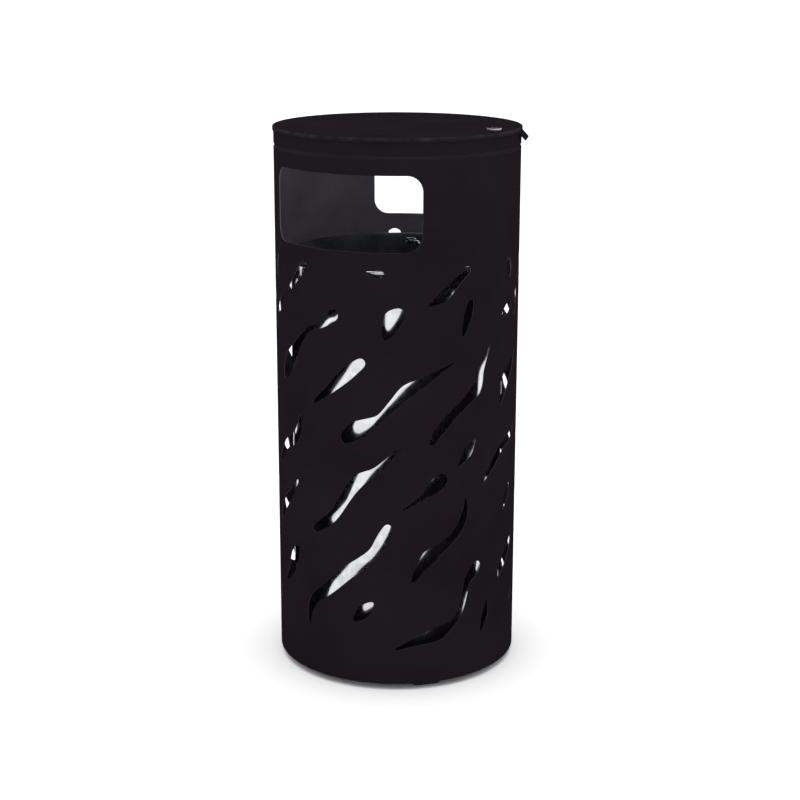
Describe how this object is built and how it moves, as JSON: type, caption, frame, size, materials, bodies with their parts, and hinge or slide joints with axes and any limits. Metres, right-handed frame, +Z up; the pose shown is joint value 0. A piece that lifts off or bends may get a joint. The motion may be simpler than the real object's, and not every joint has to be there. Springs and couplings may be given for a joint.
{
  "type": "litter bin",
  "caption": "Round sheet-steel litter bin with wave-shaped cut-outs, a deposit window front and back, a hinged locking lid and a lift-out galvanised liner with drop handles.",
  "frame": {"origin": "on the ground, on the drum's axis", "axes": "+Z up along the drum's axis; the front deposit window faces -Y, the lock is towards +X and the hinge is at -X"},
  "size_m": [0.3918, 0.383, 0.8551],
  "materials": {
    "powder_coat": "fine-textured near-black powder coat, semi-matt, with a slight purple tint",
    "galvanised": "galvanised sheet and wire with a soft grey spangle",
    "stainless": "stainless steel, turned and lightly brushed",
    "rubber": "matt black rubber"
  },
  "bodies": {
    "bin_body": {"body_drum": "powder_coat", "top_collar": "powder_coat", "base_pan": "powder_coat", "foot_pad_1": "rubber", "foot_bolt_1": "stainless", "foot_nut_1": "stainless", "foot_pad_2": "rubber", "foot_bolt_2": "stainless", "foot_nut_2": "stainless", "foot_pad_3": "rubber", "foot_bolt_3": "stainless", "foot_nut_3": "stainless", "foot_pad_4": "rubber", "foot_bolt_4": "stainless", "foot_nut_4": "stainless", "hinge_body_leaf": "powder_coat", "hinge_pin": "stainless", "hinge_body_rivet_1": "stainless", "hinge_body_rivet_2": "stainless", "lock_strike": "powder_coat"},
    "lid": {"lid_cap": "powder_coat", "lid_skirt": "powder_coat", "lid_tab": "powder_coat", "hinge_lid_leaf": "powder_coat", "hinge_lid_rivet_1": "stainless", "hinge_lid_rivet_2": "stainless", "lock_housing": "stainless", "lock_nut": "stainless"},
    "lock": {"lock_core": "stainless", "lock_cam": "stainless", "lock_cam_screw": "stainless"},
    "liner": {"liner_wall": "galvanised", "liner_rim_bead": "galvanised", "liner_bottom": "galvanised", "liner_ear_front_left": "galvanised", "liner_ear_front_right": "galvanised", "liner_ear_rear_right": "galvanised", "liner_ear_rear_left": "galvanised", "liner_ear_rivet_front_left": "galvanised", "liner_ear_rivet_front_right": "galvanised", "liner_ear_rivet_rear_right": "galvanised", "liner_ear_rivet_rear_left": "galvanised"},
    "handle_front": {"liner_handle_front": "galvanised"},
    "handle_rear": {"liner_handle_rear": "galvanised"}
  },
  "joints": [
    {"name": "lid_hinge", "type": "hinge", "parent": "bin_body", "child": "lid", "pos_m": [-0.1925, 0, 0.8235], "axis": [0, -1, 0], "range_deg": [0, 105]},
    {"name": "lock_turn", "type": "hinge", "parent": "lid", "child": "lock", "pos_m": [0.165, 0, 0.84], "axis": [0, 0, 1], "range_deg": [0, 90]},
    {"name": "liner_lift", "type": "slide", "parent": "bin_body", "child": "liner", "axis": [0, 0, 1], "range_m": [0, 0.14]},
    {"name": "handle_front_swing", "type": "hinge", "parent": "liner", "child": "handle_front", "pos_m": [0, -0.146, 0.645], "axis": [1, 0, 0], "range_deg": [-10, 225]},
    {"name": "handle_rear_swing", "type": "hinge", "parent": "liner", "child": "handle_rear", "pos_m": [0, 0.146, 0.645], "axis": [-1, 0, 0], "range_deg": [-10, 225]}
  ]
}
